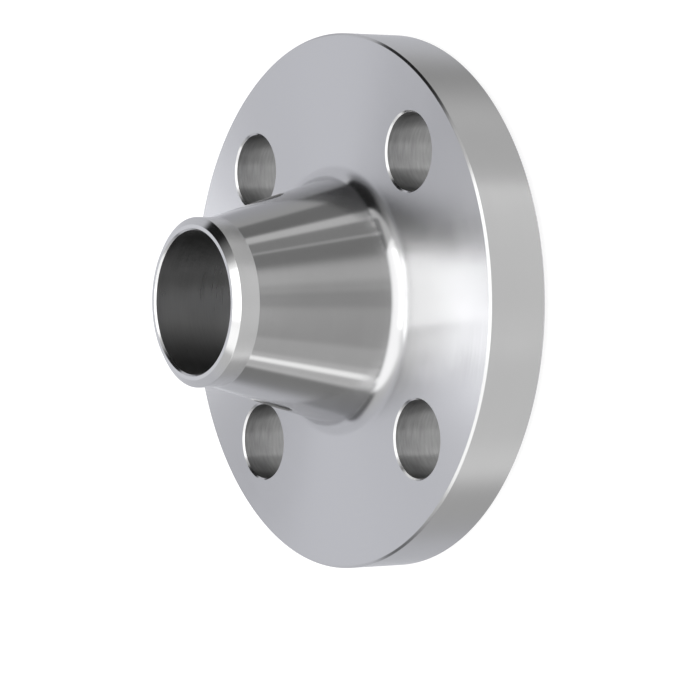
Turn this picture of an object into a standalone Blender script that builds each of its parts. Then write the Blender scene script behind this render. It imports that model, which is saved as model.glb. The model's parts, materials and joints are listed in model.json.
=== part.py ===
"""Weld neck pipe flange, NPS 1 1/2 (DN 40), Class 300, raised face, standard-weight bore.

The flange is a single forging, turned all over and drilled. Units are metres, +Z is up and the
flange's axis is Z. The origin is the centre of the raised face: the part rests on that face, and
its neck points up to the weld end.
"""

import math

import bpy

MM = 0.001

# Flange ring
FLANGE_DIAMETER = 155.0 * MM
FLANGE_THICKNESS = 19.1 * MM
RAISED_FACE_DIAMETER = 73.0 * MM
RAISED_FACE_HEIGHT = 2.0 * MM
FRONT_EDGE_CHAMFER = 0.6 * MM
BACK_EDGE_CHAMFER = 0.8 * MM

# Hub, neck and weld end
LENGTH_THROUGH_HUB = 67.0 * MM
HUB_BASE_DIAMETER = 72.0 * MM
HUB_FILLET_RADIUS = 5.0 * MM
WELD_END_DIAMETER = 48.3 * MM
WELD_BAND_LENGTH = 7.6 * MM
WELD_ROOT_FACE = 1.6 * MM
WELD_BEVEL_ANGLE = math.radians(37.5)
BORE_DIAMETER = 40.9 * MM
BORE_CHAMFER = 0.5 * MM

# Bolt holes, which straddle the X and Y axes
BOLT_CIRCLE_DIAMETER = 114.3 * MM
BOLT_HOLE_DIAMETER = 22.2 * MM
BOLT_HOLE_COUNT = 4
BOLT_HOLE_CHAMFER = 0.5 * MM
FIRST_HOLE_ANGLE = math.radians(45)

# How finely the curves are divided
TURNED_STEPS = 96
HOLE_STEPS = 48
FILLET_STEPS = 8
SHARP_ANGLE = math.radians(20)
MERGE_DISTANCE = 0.00001

# Heights along the axis that the sizes above lead to
BACK_Z = RAISED_FACE_HEIGHT
FRONT_Z = BACK_Z + FLANGE_THICKNESS
WELD_Z = BACK_Z + LENGTH_THROUGH_HUB
NECK_RADIUS = WELD_END_DIAMETER / 2
CONE_TOP_Z = WELD_Z - WELD_BAND_LENGTH


def hub_fillet():
    """Points, as (radius, z), of the concave arc from the hub's cone down to the front face."""
    base_radius = HUB_BASE_DIAMETER / 2
    half_angle = math.atan2(base_radius - NECK_RADIUS, CONE_TOP_Z - FRONT_Z)
    tangent_length = HUB_FILLET_RADIUS * math.tan((math.pi / 2 - half_angle) / 2)
    centre_radius = base_radius + tangent_length
    centre_z = FRONT_Z + HUB_FILLET_RADIUS
    start, end = math.pi + half_angle, 1.5 * math.pi
    points = []
    for step in range(FILLET_STEPS + 1):
        angle = start + (end - start) * step / FILLET_STEPS
        radius = centre_radius + HUB_FILLET_RADIUS * math.cos(angle)
        z = centre_z + HUB_FILLET_RADIUS * math.sin(angle)
        points.append((radius, z))
    return points


def weld_end():
    """Points from the bore's mouth out over the root face, bevel and short straight band."""
    bore_radius = BORE_DIAMETER / 2
    root_radius = bore_radius + WELD_ROOT_FACE
    bevel_height = (NECK_RADIUS - root_radius) * math.tan(WELD_BEVEL_ANGLE)
    return [
        (bore_radius, WELD_Z - BORE_CHAMFER),
        (bore_radius + BORE_CHAMFER, WELD_Z),
        (root_radius, WELD_Z),
        (NECK_RADIUS, WELD_Z - bevel_height),
        (NECK_RADIUS, CONE_TOP_Z),
    ]


def ring_and_raised_face():
    """Points from the front face's edge down the rim, across the back and into the bore."""
    rim_radius = FLANGE_DIAMETER / 2
    raised_radius = RAISED_FACE_DIAMETER / 2
    bore_radius = BORE_DIAMETER / 2
    return [
        (rim_radius - FRONT_EDGE_CHAMFER, FRONT_Z),
        (rim_radius, FRONT_Z - FRONT_EDGE_CHAMFER),
        (rim_radius, BACK_Z + BACK_EDGE_CHAMFER),
        (rim_radius - BACK_EDGE_CHAMFER, BACK_Z),
        (raised_radius, BACK_Z),
        (raised_radius, 0.0),
        (bore_radius + BORE_CHAMFER, 0.0),
        (bore_radius, BORE_CHAMFER),
    ]


def hole_cutter_profile():
    """A drill's outline, from top to bottom, that flares past each face to cut the chamfers."""
    hole_radius = BOLT_HOLE_DIAMETER / 2
    overshoot = 2 * BOLT_HOLE_CHAMFER
    flare_radius = hole_radius + BOLT_HOLE_CHAMFER + overshoot
    return [
        (0.0, FRONT_Z + overshoot),
        (flare_radius, FRONT_Z + overshoot),
        (hole_radius, FRONT_Z - BOLT_HOLE_CHAMFER),
        (hole_radius, BACK_Z + BOLT_HOLE_CHAMFER),
        (flare_radius, BACK_Z - overshoot),
        (0.0, BACK_Z - overshoot),
    ]


def new_collection(name):
    collection = bpy.data.collections.new(name)
    bpy.context.scene.collection.children.link(collection)
    return collection


def turned_object(name, profile, steps, collection):
    """An object whose outline, (radius, z) points joined in a loop, is swept round Z."""
    vertices = [(radius, 0.0, z) for radius, z in profile]
    edges = [(i, (i + 1) % len(vertices)) for i in range(len(vertices))]
    mesh = bpy.data.meshes.new(name)
    mesh.from_pydata(vertices, edges, [])
    obj = bpy.data.objects.new(name, mesh)
    collection.objects.link(obj)
    screw = obj.modifiers.new("turn", "SCREW")
    screw.axis = "Z"
    screw.steps = steps
    screw.render_steps = steps
    screw.use_merge_vertices = True
    screw.merge_threshold = MERGE_DISTANCE
    return obj


def hole_cutters(collection):
    """One hidden cutter for each bolt hole, evenly spaced on the bolt circle."""
    bolt_circle_radius = BOLT_CIRCLE_DIAMETER / 2
    cutters = []
    for number in range(BOLT_HOLE_COUNT):
        name = f"bolt_hole_cutter_{number + 1}"
        cutter = turned_object(name, hole_cutter_profile(), HOLE_STEPS, collection)
        angle = FIRST_HOLE_ANGLE + 2 * math.pi * number / BOLT_HOLE_COUNT
        cutter.location.x = bolt_circle_radius * math.cos(angle)
        cutter.location.y = bolt_circle_radius * math.sin(angle)
        cutter.hide_render = True
        cutter.display_type = "WIRE"
        cutters.append(cutter)
    return cutters


def drill(obj, cutters):
    for cutter in cutters:
        cut = obj.modifiers.new(f"drill {cutter.name}", "BOOLEAN")
        cut.operation = "DIFFERENCE"
        cut.solver = "EXACT"
        cut.object = cutter


def apply_and_shade(obj):
    """Turn the modifiers into mesh and shade it smooth, with crisp edges where faces meet."""
    graph = bpy.context.evaluated_depsgraph_get()
    mesh = bpy.data.meshes.new_from_object(obj.evaluated_get(graph))
    outline = obj.data
    obj.modifiers.clear()
    obj.data = mesh
    bpy.data.meshes.remove(outline)
    mesh.name = obj.name
    mesh.shade_smooth()
    mesh.set_sharp_from_angle(angle=SHARP_ANGLE)


def machined_steel():
    """Bright turned stainless steel."""
    material = bpy.data.materials.new("machined_steel")
    material.use_nodes = True
    shader = material.node_tree.nodes["Principled BSDF"]
    shader.inputs["Base Color"].default_value = (0.60, 0.61, 0.62, 1.0)
    shader.inputs["Metallic"].default_value = 1.0
    shader.inputs["Roughness"].default_value = 0.28
    return material


def weld_neck_flange(collection, cutter_collection):
    """The forging: turned in one profile, then drilled for the bolts."""
    profile = weld_end() + hub_fillet() + ring_and_raised_face()
    flange = turned_object("weld_neck_flange", profile, TURNED_STEPS, collection)
    drill(flange, hole_cutters(cutter_collection))
    apply_and_shade(flange)
    flange.data.materials.clear()
    flange.data.materials.append(machined_steel())
    return flange


def main():
    for obj in list(bpy.data.objects):
        bpy.data.objects.remove(obj, do_unlink=True)
    weld_neck_flange(new_collection("weld_neck_flange"), new_collection("cutters"))


main()
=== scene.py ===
"""Weld neck flange: its fine turned surface, machined steel, studio and camera.

Everything is in metres in the CAD's frame: the flange's axis is Z, the raised face rests on the
floor and the neck points up. The camera lies on its side, so the neck points left in the picture.
"""
import json
import math

import bpy
from mathutils import Euler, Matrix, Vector


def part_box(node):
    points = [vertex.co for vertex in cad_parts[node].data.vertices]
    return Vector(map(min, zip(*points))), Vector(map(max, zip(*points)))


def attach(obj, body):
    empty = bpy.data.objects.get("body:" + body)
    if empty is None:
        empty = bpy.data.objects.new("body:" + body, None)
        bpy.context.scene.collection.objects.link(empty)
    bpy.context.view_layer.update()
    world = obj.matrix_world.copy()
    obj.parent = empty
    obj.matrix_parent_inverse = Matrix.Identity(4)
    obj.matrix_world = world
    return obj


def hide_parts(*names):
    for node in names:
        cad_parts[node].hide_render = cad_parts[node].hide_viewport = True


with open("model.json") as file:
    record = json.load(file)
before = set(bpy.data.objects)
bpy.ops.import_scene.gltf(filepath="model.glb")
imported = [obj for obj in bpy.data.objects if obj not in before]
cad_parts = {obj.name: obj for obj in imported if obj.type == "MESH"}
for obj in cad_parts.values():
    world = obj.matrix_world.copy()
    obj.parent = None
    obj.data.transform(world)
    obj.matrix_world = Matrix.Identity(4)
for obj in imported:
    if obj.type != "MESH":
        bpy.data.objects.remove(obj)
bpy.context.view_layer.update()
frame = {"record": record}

MM = 0.001
MICRON = 0.001 * MM
NODE = "weld_neck_flange"

# The frame gives the outer sizes and the heights of the faces.
_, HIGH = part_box(NODE)
MOUNTS = {mount["name"]: mount for mount in frame["record"]["mounts"]}
RIM_RADIUS = HIGH.x
WELD_Z = HIGH.z
FRONT_Z = MOUNTS["nut_face"]["pos_m"][2]
BOLT_CIRCLE_RADIUS = MOUNTS["nut_face"]["pos_m"][0]

# Sizes inside the outline, as in the CAD
BACK_Z = 2.0 * MM
RAISED_FACE_RADIUS = 36.5 * MM
HUB_BASE_RADIUS = 36.0 * MM
HUB_FILLET = 5.0 * MM
NECK_RADIUS = 24.15 * MM
CONE_TOP_Z = WELD_Z - 7.6 * MM
BORE_RADIUS = 20.45 * MM
ROOT_RADIUS = BORE_RADIUS + 1.6 * MM
BEVEL_HEIGHT = (NECK_RADIUS - ROOT_RADIUS) * math.tan(math.radians(37.5))
BORE_CHAMFER = 0.5 * MM
FRONT_CHAMFER = 0.6 * MM
BACK_CHAMFER = 0.8 * MM
HOLE_RADIUS = 11.1 * MM
HOLE_CHAMFER = 0.5 * MM
HOLE_ANGLES = [math.radians(45 + 90 * number) for number in range(4)]

# Small roundings that the CAD leaves out
EDGE = 0.08 * MM
NECK_FOOT = 0.6 * MM
RAISED_FACE_FOOT = 0.2 * MM
RAISED_FACE_EDGE = 0.15 * MM

# The tool's marks on the raised face: shallow scallops, left by a round-nosed tool
SERRATION_PITCH = 0.5 * MM
SERRATION_DEPTH = 0.025 * MM
SERRATION_STEPS = 4
SERRATION_OUTER = RAISED_FACE_RADIUS - 0.5 * MM
SERRATION_INNER = BORE_RADIUS + BORE_CHAMFER + 0.2 * MM

# The photo's viewpoint
CAMERA_LENS = 177.75
CAMERA_SENSOR = 36
CAMERA_AIM = Vector((-14.3, 0.2, 15.6)) * MM
CAMERA_DISTANCE = 1.006
CAMERA_AZIMUTH = -1.0
CAMERA_ELEVATION = 33.67
CAMERA_ROLL = math.radians(-91.1)

# Mesh density
TURNED_STEPS = 288
HOLE_STEPS = 128
ARC_STEP = math.radians(8)
FINE_ARC_STEP = math.radians(3)
GUARD = 0.15 * MM
SHARP_ANGLE = math.radians(16)

# Finishes, by material slot
FACED, HUB, FILLET, TURNED, BORED, SERRATED, DRILLED = range(7)


# ---------------------------------------------------------------- outline

def arc(before, corner, after, radius, largest_step):
    """Points that round a corner of the outline with an arc of the given radius."""
    to_before = (before - corner).normalized()
    to_after = (after - corner).normalized()
    half = to_before.angle(to_after) / 2
    centre = corner + (to_before + to_after).normalized() * radius / math.sin(half)
    start = corner + to_before * radius / math.tan(half) - centre
    turn = start.angle_signed(corner + to_after * radius / math.tan(half) - centre)
    steps = max(2, math.ceil(abs(turn) / largest_step))
    points = []
    for step in range(steps + 1):
        angle = -turn * step / steps
        cosine, sine = math.cos(angle), math.sin(angle)
        spoke = Vector((start.x * cosine - start.y * sine, start.x * sine + start.y * cosine))
        points.append(centre + spoke)
    return points


def guarded(points):
    """Adds a point close to each end of every long straight, so that flats shade as flats."""
    guarded_points = []
    for (here, finish), (there, _) in zip(points, points[1:] + points[:1]):
        guarded_points.append((here, finish))
        length = (there - here).length
        if length > 4 * GUARD:
            along = (there - here).normalized()
            guarded_points.append((here + along * GUARD, finish))
            guarded_points.append((there - along * GUARD, finish))
    return guarded_points


def serrations():
    """Corners of the scallops across the raised face, from its edge in to the bore's chamfer."""
    width = SERRATION_OUTER - SERRATION_INNER
    steps = round(width / SERRATION_PITCH) * SERRATION_STEPS
    corners = []
    for step in range(steps + 1):
        share = step % SERRATION_STEPS / SERRATION_STEPS
        depth = 4 * SERRATION_DEPTH * share * (1 - share)
        corners.append((SERRATION_OUTER - width * step / steps, depth, 0, SERRATED))
    return corners


def outline():
    """The turned section, as (point, finish of the stretch after it), down its outer side.

    Each corner is (radius, z, rounding, finish of the stretch that starts there).
    """
    corners = [
        (BORE_RADIUS, WELD_Z - BORE_CHAMFER, EDGE, TURNED),
        (BORE_RADIUS + BORE_CHAMFER, WELD_Z, EDGE, HUB),
        (ROOT_RADIUS, WELD_Z, EDGE, HUB),
        (NECK_RADIUS, WELD_Z - BEVEL_HEIGHT, EDGE, TURNED),
        (NECK_RADIUS, CONE_TOP_Z, NECK_FOOT, HUB),
        (HUB_BASE_RADIUS, FRONT_Z, HUB_FILLET, FACED),
        (RIM_RADIUS - FRONT_CHAMFER, FRONT_Z, EDGE, TURNED),
        (RIM_RADIUS, FRONT_Z - FRONT_CHAMFER, EDGE, TURNED),
        (RIM_RADIUS, BACK_Z + BACK_CHAMFER, EDGE, TURNED),
        (RIM_RADIUS - BACK_CHAMFER, BACK_Z, EDGE, FACED),
        (RAISED_FACE_RADIUS, BACK_Z, RAISED_FACE_FOOT, FACED),
        (RAISED_FACE_RADIUS, 0.0, RAISED_FACE_EDGE, FACED),
        *serrations(),
        (BORE_RADIUS + BORE_CHAMFER, 0.0, EDGE, TURNED),
        (BORE_RADIUS, BORE_CHAMFER, EDGE, BORED),
    ]
    points = []
    for number, (radius, z, rounding, finish) in enumerate(corners):
        corner = Vector((radius, z))
        if not rounding:
            points.append((corner, finish))
            continue
        before = Vector(corners[number - 1][:2])
        after = Vector(corners[(number + 1) % len(corners)][:2])
        is_fillet = rounding == HUB_FILLET
        rounded = arc(before, corner, after, rounding, FINE_ARC_STEP if is_fillet else ARC_STEP)
        points += [(point, FILLET if is_fillet else finish) for point in rounded[:-1]]
        points.append((rounded[-1], finish))
    return guarded(points)


# ---------------------------------------------------------------- meshes

def turned_mesh(name, section, steps, closed=True):
    """Sweeps (point, finish) pairs round Z. An open section starts and ends on the axis."""
    vertices, faces, finishes = [], [], []
    rings = []
    for point, _ in section:
        if point.x == 0:
            rings.append([len(vertices)] * steps)
            vertices.append((0, 0, point.y))
            continue
        rings.append(range(len(vertices), len(vertices) + steps))
        for step in range(steps):
            angle = 2 * math.pi * step / steps
            vertices.append((point.x * math.cos(angle), point.x * math.sin(angle), point.y))
    pairs = list(zip(rings, rings[1:] + rings[:1]))
    for (upper, lower), (_, finish) in zip(pairs if closed else pairs[:-1], section):
        for step in range(steps):
            after = (step + 1) % steps
            loop = (upper[step], lower[step], lower[after], upper[after])
            faces.append(tuple(dict.fromkeys(loop)))
            finishes.append(finish)
    mesh = bpy.data.meshes.new(name)
    mesh.from_pydata(vertices, [], faces)
    mesh.polygons.foreach_set("material_index", finishes)
    return mesh


def hole_cutter():
    """A drill that opens out past both faces of the ring, where it cuts the holes' chamfers."""
    past = 2 * HOLE_CHAMFER
    flare = HOLE_RADIUS + HOLE_CHAMFER + past
    section = [
        (Vector((0.0, FRONT_Z + past)), TURNED),
        (Vector((flare, FRONT_Z + past)), TURNED),
        (Vector((HOLE_RADIUS, FRONT_Z - HOLE_CHAMFER)), DRILLED),
        (Vector((HOLE_RADIUS, BACK_Z + HOLE_CHAMFER)), TURNED),
        (Vector((flare, BACK_Z - past)), TURNED),
        (Vector((0.0, BACK_Z - past)), TURNED),
    ]
    return turned_mesh("hole_cutter", section, HOLE_STEPS, closed=False)


def drilled(flange, cutter_mesh):
    """Cuts the four bolt holes, then leaves the flange a plain mesh."""
    cutters = []
    for angle in HOLE_ANGLES:
        cutter = bpy.data.objects.new("cutter", cutter_mesh)
        cutter.location = (
            BOLT_CIRCLE_RADIUS * math.cos(angle), BOLT_CIRCLE_RADIUS * math.sin(angle), 0)
        bpy.context.scene.collection.objects.link(cutter)
        cut = flange.modifiers.new("cut", "BOOLEAN")
        cut.solver = "EXACT"
        cut.material_mode = "INDEX"
        cut.object = cutter
        cutters.append(cutter)
    graph = bpy.context.evaluated_depsgraph_get()
    flange.data = bpy.data.meshes.new_from_object(flange.evaluated_get(graph))
    flange.modifiers.clear()
    for cutter in cutters:
        bpy.data.objects.remove(cutter)


def make_flange(materials):
    flange = bpy.data.objects.new("flange_forging", turned_mesh("flange", outline(), TURNED_STEPS))
    bpy.context.scene.collection.objects.link(flange)
    cutter_mesh = hole_cutter()
    for material in materials:
        flange.data.materials.append(material)
        cutter_mesh.materials.append(material)
    drilled(flange, cutter_mesh)
    flange.data.shade_smooth()
    flange.data.set_sharp_from_angle(angle=SHARP_ANGLE)
    return flange


# ---------------------------------------------------------------- nodes

class Nodes:
    """Adds nodes to a tree. A value is a number, a vector or another node's output."""

    def __init__(self, tree):
        self.tree = tree

    def node(self, kind, *values, operation=None):
        node = self.tree.nodes.new(kind)
        if operation:
            node.operation = operation
        for socket, value in zip(node.inputs, values):
            if isinstance(value, bpy.types.NodeSocket):
                self.tree.links.new(value, socket)
            else:
                socket.default_value = value
        return node

    def math(self, operation, *values):
        return self.node("ShaderNodeMath", *values, operation=operation).outputs[0]

    def vector(self, operation, *values):
        node = self.node("ShaderNodeVectorMath", *values, operation=operation)
        return node.outputs["Value" if operation in ("LENGTH", "DOT_PRODUCT") else "Vector"]

    def map_range(self, value, low, high, new_low, new_high):
        node = self.node("ShaderNodeMapRange", value, low, high, new_low, new_high)
        return node.outputs["Result"]


# ---------------------------------------------------------------- steel

# Most of the noise's values lie in these ranges, for the roughness and for the shades of grey.
ROUGHNESS_NOISE = (0.25, 0.75)
SHADES_NOISE = (0.3, 0.7)
NOISE_DETAIL = 3

# The roughness varies by this share either way.
ROUGHNESS_SPREAD = 0.18

# How much of the variation follows the grooves. The rest is in blotches, of about a 55th of a metre.
GROOVE_SHARE = 0.6
BLOTCH_SCALE = 55

# How far the noise is sampled either side of the axis, as the grooves go round it
ROUND_SCALE = 2

# A quarter turn from the tangent: reflections spread across the grooves.
ACROSS_THE_GROOVES = 0.25

# Where the fillet's finish starts to coarsen, and where it is as coarse as the ring's
MERGE_RADII = (35.0 * MM, 39.7 * MM)


class Steel(Nodes):
    """Machined steel. Its texture runs round the axis, as a lathe leaves it.

    pitch is how far apart the grooves are in millimetres, and groove is their height in microns.
    contrast is the share that the grey varies by, either way. outer_roughness is what the
    roughness grows to across the hub's fillet.
    """

    def __init__(self, name, colour, roughness, anisotropy, pitch=0.1, groove=1.0, contrast=0.035,
                 in_holes=False, outer_roughness=None):
        self.material = bpy.data.materials.new(name)
        self.material.use_nodes = True
        super().__init__(self.material.node_tree)
        self.shader = self.tree.nodes["Principled BSDF"]
        self.shader.inputs["Metallic"].default_value = 1
        self.shader.inputs["Anisotropic"].default_value = anisotropy
        self.shader.inputs["Anisotropic Rotation"].default_value = ACROSS_THE_GROOVES

        place = self.node("ShaderNodeTexCoord").outputs["Object"]
        if in_holes:
            place = self.from_nearest_hole(place)
        rings = self.noise(self.along_the_grooves(place, pitch * MM), 1.0)
        blotches = self.noise(place, BLOTCH_SCALE)
        difference = self.math("SUBTRACT", rings, blotches)
        spread = self.math("MULTIPLY_ADD", difference, GROOVE_SHARE, blotches)
        smoothest, roughest = roughness * (1 - ROUGHNESS_SPREAD), roughness * (1 + ROUGHNESS_SPREAD)
        rough = self.map_range(spread, *ROUGHNESS_NOISE, smoothest, roughest)
        if outer_roughness:
            growth = self.map_range(self.radius(place), *MERGE_RADII, 1.0, outer_roughness / roughness)
            rough = self.math("MULTIPLY", rough, growth)
        bump = self.node("ShaderNodeBump")
        bump.inputs["Strength"].default_value = 1
        bump.inputs["Distance"].default_value = groove * MICRON
        self.tree.links.new(rings, bump.inputs["Height"])

        self.link(self.shades(spread, colour, contrast), "Base Color")
        self.link(rough, "Roughness")
        self.link(bump.outputs["Normal"], "Normal")
        self.link(self.vector("CROSS_PRODUCT", (0, 0, 1), place), "Tangent")

    def link(self, output, socket):
        self.tree.links.new(output, self.shader.inputs[socket])

    def from_nearest_hole(self, place):
        """The place as seen from the axis of the nearest bolt hole."""
        across = BOLT_CIRCLE_RADIUS * math.sqrt(0.5)
        axis = self.vector("MULTIPLY", self.vector("SIGN", place), (across, across, 0))
        return self.vector("SUBTRACT", place, axis)

    def flat(self, place):
        return self.vector("MULTIPLY", place, (1, 1, 0))

    def radius(self, place):
        return self.vector("LENGTH", self.flat(place))

    def along_the_grooves(self, place, pitch):
        """Texture coordinates that count grooves along the section, and change slowly round it."""
        z = self.node("ShaderNodeSeparateXYZ", place).outputs["Z"]
        count = self.math("DIVIDE", self.math("SUBTRACT", self.radius(place), z), pitch)
        outwards = self.vector("NORMALIZE", self.flat(place))
        around = self.vector("MULTIPLY", outwards, (ROUND_SCALE, ROUND_SCALE, 0))
        return self.vector("ADD", around, self.node("ShaderNodeCombineXYZ", 0, 0, count).outputs[0])

    def noise(self, place, scale):
        node = self.node("ShaderNodeTexNoise")
        self.tree.links.new(place, node.inputs["Vector"])
        node.inputs["Scale"].default_value = scale
        node.inputs["Detail"].default_value = NOISE_DETAIL
        return node.outputs[0]

    def shades(self, value, colour, contrast):
        ramp = self.node("ShaderNodeValToRGB", value)
        for element, position, sign in zip(ramp.color_ramp.elements, SHADES_NOISE, (-1, 1)):
            element.position = position
            element.color = (*(channel * (1 + sign * contrast) for channel in colour), 1)
        return ramp.outputs["Color"]


GREY = (0.62, 0.62, 0.62)
FACE_GREY = (0.60, 0.60, 0.605)
# This darker grey is painted shade: the bore and the bolt holes get a darker steel colour to stand in
# for the shade inside them.
PAINTED_SHADE_GREY = (0.37, 0.37, 0.37)


def make_steels():
    """The materials, in the order of the finishes' slots."""
    steels = [
        Steel("faced_steel", FACE_GREY, 0.235, 1.0, pitch=0.2, groove=0.6),
        Steel("hub_steel", GREY, 0.13, 0.6, groove=0.5),
        Steel("fillet_steel", FACE_GREY, 0.15, 1.0, groove=0.5, outer_roughness=0.235),
        Steel("turned_steel", GREY, 0.22, 0.7, groove=0.5),
        # the bore and the holes take the darker grey, which is painted shade inside them
        Steel("bored_steel", PAINTED_SHADE_GREY, 0.30, 0.7, pitch=0.4, contrast=0.06),
        Steel("serrated_steel", GREY, 0.30, 0.5),
        Steel("drilled_steel", PAINTED_SHADE_GREY, 0.33, 0.8, pitch=0.8, groove=40, contrast=0.22, in_holes=True),
    ]
    return [steel.material for steel in steels]


# ---------------------------------------------------------------- studio

def direction(azimuth, elevation):
    """A unit vector. Azimuth 0 is -Y and 90 is +X, and elevation is above the floor, in degrees."""
    turn, rise = math.radians(azimuth), math.radians(elevation)
    return Vector((
        math.sin(turn) * math.cos(rise), -math.cos(turn) * math.cos(rise), math.sin(rise)))


class Studio(Nodes):
    """What the steel reflects: a pale room of plain soft panels, painted on the world."""

    def __init__(self, radiance):
        world = bpy.data.worlds.new("studio")
        world.use_nodes = True
        bpy.context.scene.world = world
        super().__init__(world.node_tree)
        self.background = self.tree.nodes["Background"]
        self.towards = self.node("ShaderNodeTexCoord").outputs["Generated"]
        # a number until the first panel is laid, and an output after that
        self.radiance = radiance

    def side(self, normal, offset, softness):
        """1 where the direction's dot product with normal is over offset, with a soft edge."""
        dot = self.vector("DOT_PRODUCT", self.towards, Vector(normal).normalized())
        edge = self.node("ShaderNodeMapRange", dot, offset - softness, offset + softness)
        edge.interpolation_type = "SMOOTHSTEP"
        return edge.outputs["Result"]

    def panel(self, radiance, sides):
        """Lays a panel over what is there. It covers the directions inside all its sides."""
        mask = 1.0
        for side in sides:
            mask = self.math("MULTIPLY", self.side(*side), mask)
        change = self.math("SUBTRACT", radiance, self.radiance)
        self.radiance = self.math("MULTIPLY_ADD", mask, change, self.radiance)

    def span(self, radiance, azimuths, elevations, softness=(0.08, 0.08)):
        """A panel between two azimuths under 180 degrees apart and between two elevations."""
        across, along = softness
        first, last = azimuths
        low, high = elevations
        self.panel(radiance, [
            (direction(first + 90, 0), 0, across),
            (direction(last - 90, 0), 0, across),
            ((0, 0, 1), math.sin(math.radians(low)), along),
            ((0, 0, -1), -math.sin(math.radians(high)), along),
        ])

    def finish(self, cool, cool_side):
        """The light is cool on one side. The camera itself sees plain white beyond the floor."""
        seen = self.node("ShaderNodeLightPath").outputs["Is Camera Ray"]
        strength = self.math("MAXIMUM", seen, self.radiance)
        self.tree.links.new(strength, self.background.inputs["Strength"])
        colour = self.node("ShaderNodeMix")
        colour.data_type = "RGBA"
        colour.inputs["A"].default_value = (1, 1, 1, 1)
        colour.inputs["B"].default_value = cool
        share = self.math("MULTIPLY", self.side(*cool_side), self.math("SUBTRACT", 1.0, seen))
        self.tree.links.new(share, colour.inputs["Factor"])
        self.tree.links.new(colour.outputs["Result"], self.background.inputs["Color"])


ROOM = 0.70
MIRRORED_WALL = 0.90
GREY_FLAG = 0.26
BLACK_FLAG = 0.015
SOFTBOX = 1.55
OVERHEAD_GAP = 1.05
BACK_STRIP = 2.9
FRONT_STRIP = 2.5
BACK_TINT = (0.975, 0.985, 1.045, 1)


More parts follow.
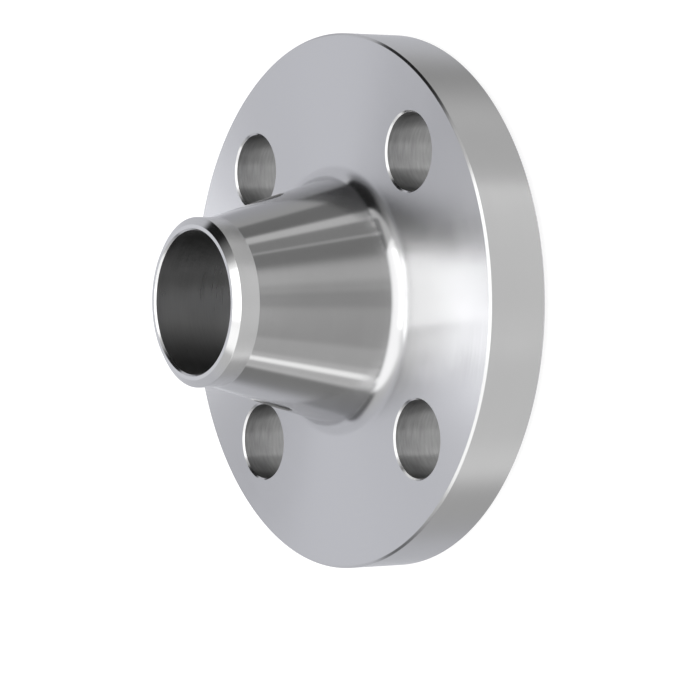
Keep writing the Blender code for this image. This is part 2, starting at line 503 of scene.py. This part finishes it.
def make_studio():
    """Lays the panels, each over those before it.

    A span is its radiance, azimuths, elevations and softness. A panel's side is a normal, an
    offset and a softness.
    """
    front, side, up = direction(4, 0), direction(94, 0), Vector((0, 0, 1))
    studio = Studio(ROOM)

    # the wall behind the flange, which the ring's face mirrors
    studio.panel(MIRRORED_WALL, [(direction(180 + CAMERA_AZIMUTH, CAMERA_ELEVATION), 0.985, 0.012)])

    # the table and the lower walls
    studio.span(0.60, (-160, -20), (-90, -14))
    studio.span(0.62, (20, 160), (-90, -14))
    studio.span(0.78, (-88, 50), (-90, -20), (0.15, 0.08))
    studio.span(0.88, (-84, -68), (-60, -24), (0.10, 0.05))
    studio.span(0.50, (-126, -90), (-60, -24), (0.12, 0.05))
    studio.span(0.40, (98, 124), (-60, -24), (0.20, 0.06))
    studio.span(0.44, (96, 150), (-24, -4), (0.15, 0.06))

    # the wall behind the camera, with its gaps and strips
    studio.span(0.385, (-66, 46), (-18, 12), (0.03, 0.08))
    studio.span(0.50, (-68, -46), (-18, 12), (0.06, 0.08))
    studio.span(0.31, (-8, 7), (-18, 12), (0.05, 0.08))
    studio.span(0.50, (17, 40), (-18, 12), (0.08, 0.08))
    studio.span(0.24, (37, 92), (-18, 20), (0.14, 0.08))
    studio.span(0.29, (61, 78), (-18, 20), (0.04, 0.08))
    studio.span(0.46, (57.5, 60.5), (-18, 9), (0.015, 0.08))
    studio.span(0.62, (-86, -66), (-24, 12), (0.05, 0.08))
    studio.span(1.35, (-78.5, -72.5), (-26, 8), (0.03, 0.08))

    # the grey flag and the black one on one side
    studio.panel(GREY_FLAG, [
        (direction(84 + 90, 0), 0, 0.06),
        (side, 0.08, 0.08),
        (0.73 * front + 0.25 * side + 0.64 * up, 0, 0.08),
        (up, 0.32, 0.08),
        (-up, -0.86, 0.06),
    ])
    studio.span(0.22, (86, 106), (-26, 0), (0.05, 0.04))
    studio.panel(BLACK_FLAG, [
        (direction(86 + 90, 0), 0, 0.04),
        (direction(122 - 90, 0) + 0.25 * up, 0, 0.04),
        (up, -0.10, 0.05),
        (-up, -0.72, 0.08),
    ])

    # the dark panels on the other side, and a pale strip next to the black flag
    studio.span(0.26, (-130, -90), (-15.5, 22), (0.05, 0.03))
    studio.span(0.14, (-128, -94), (6, 24), (0.06, 0.05))
    studio.span(0.66, (74.5, 84.5), (-34, 24), (0.03, 0.12))

    # the big softbox behind the camera, which is deeper on the side away from the black flag
    softbox_edges = [(up, 0.13, 0.13), (0.65 * front - side + 0.48 * up, 0, 0.03)]
    studio.panel(SOFTBOX, [*softbox_edges, (front, 0.16, 0.05)])
    studio.panel(SOFTBOX, [*softbox_edges, (front + 0.12 * up, 0, 0.06), (-side, 0.28, 0.06)])

    # the gap straight overhead, which keeps the ring's face from glaring when seen from above
    studio.panel(OVERHEAD_GAP, [
        (side, -0.34, 0.06),
        (-side, -0.28, 0.06),
        (up, 0.90, 0.05),
        (-front, -0.16, 0.05),
    ])

    # the two strips on either side of the gap, which give the face its bright wedge
    wedge_edges = [(0.40 * front - side, -0.308, 0.02), (0.26 * front + side, -0.209, 0.02)]
    studio.panel(BACK_STRIP, [*wedge_edges, (up, 0.72, 0.05), (-front, 0.16, 0.05)])
    studio.panel(FRONT_STRIP, [*wedge_edges, (front, 0.12, 0.05), (-front, -0.50, 0.08)])
    studio.finish(BACK_TINT, (-front, 0.45, 0.25))


# ---------------------------------------------------------------- floor

FLOOR_RADIUS = 6
FLOOR_GREY = (0.4, 0.4, 0.4, 1)
FLOOR_GLOW = 0.75
# The floor is this far under the raised face, so that the two don't lie in one plane.
FLOOR_DROP = 0.02 * MM


def make_floor():
    """A pale floor, bright enough to meet the white background. The steel doesn't mirror it."""
    bpy.ops.mesh.primitive_circle_add(
        vertices=96, radius=FLOOR_RADIUS, fill_type="NGON", location=(0, 0, -FLOOR_DROP))
    floor = bpy.context.object
    floor.name = "floor"
    floor.visible_glossy = False
    material = bpy.data.materials.new("pale_floor")
    material.use_nodes = True
    shader = material.node_tree.nodes["Principled BSDF"]
    shader.inputs["Base Color"].default_value = FLOOR_GREY
    shader.inputs["Roughness"].default_value = 1
    shader.inputs["Specular IOR Level"].default_value = 0
    shader.inputs["Emission Color"].default_value = (1, 1, 1, 1)
    shader.inputs["Emission Strength"].default_value = FLOOR_GLOW
    floor.data.materials.append(material)


# ---------------------------------------------------------------- camera

def make_camera():
    """The camera looks down at the flange from its neck side, and lies on its side."""
    data = bpy.data.cameras.new("camera")
    data.lens = CAMERA_LENS
    data.sensor_width = CAMERA_SENSOR
    camera = bpy.data.objects.new("camera", data)
    bpy.context.scene.collection.objects.link(camera)
    back = direction(CAMERA_AZIMUTH, CAMERA_ELEVATION)
    camera.location = CAMERA_AIM + back * CAMERA_DISTANCE
    level = (-back).to_track_quat("-Z", "Y").to_matrix()
    roll = Euler((0, 0, CAMERA_ROLL)).to_matrix()
    camera.rotation_euler = (level @ roll).to_euler()
    bpy.context.scene.camera = camera


# ---------------------------------------------------------------- assembly

flange = make_flange(make_steels())
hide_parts(NODE)
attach(flange, "root")
make_studio()
make_floor()
make_camera()
bpy.context.scene.view_settings.view_transform = "Standard"
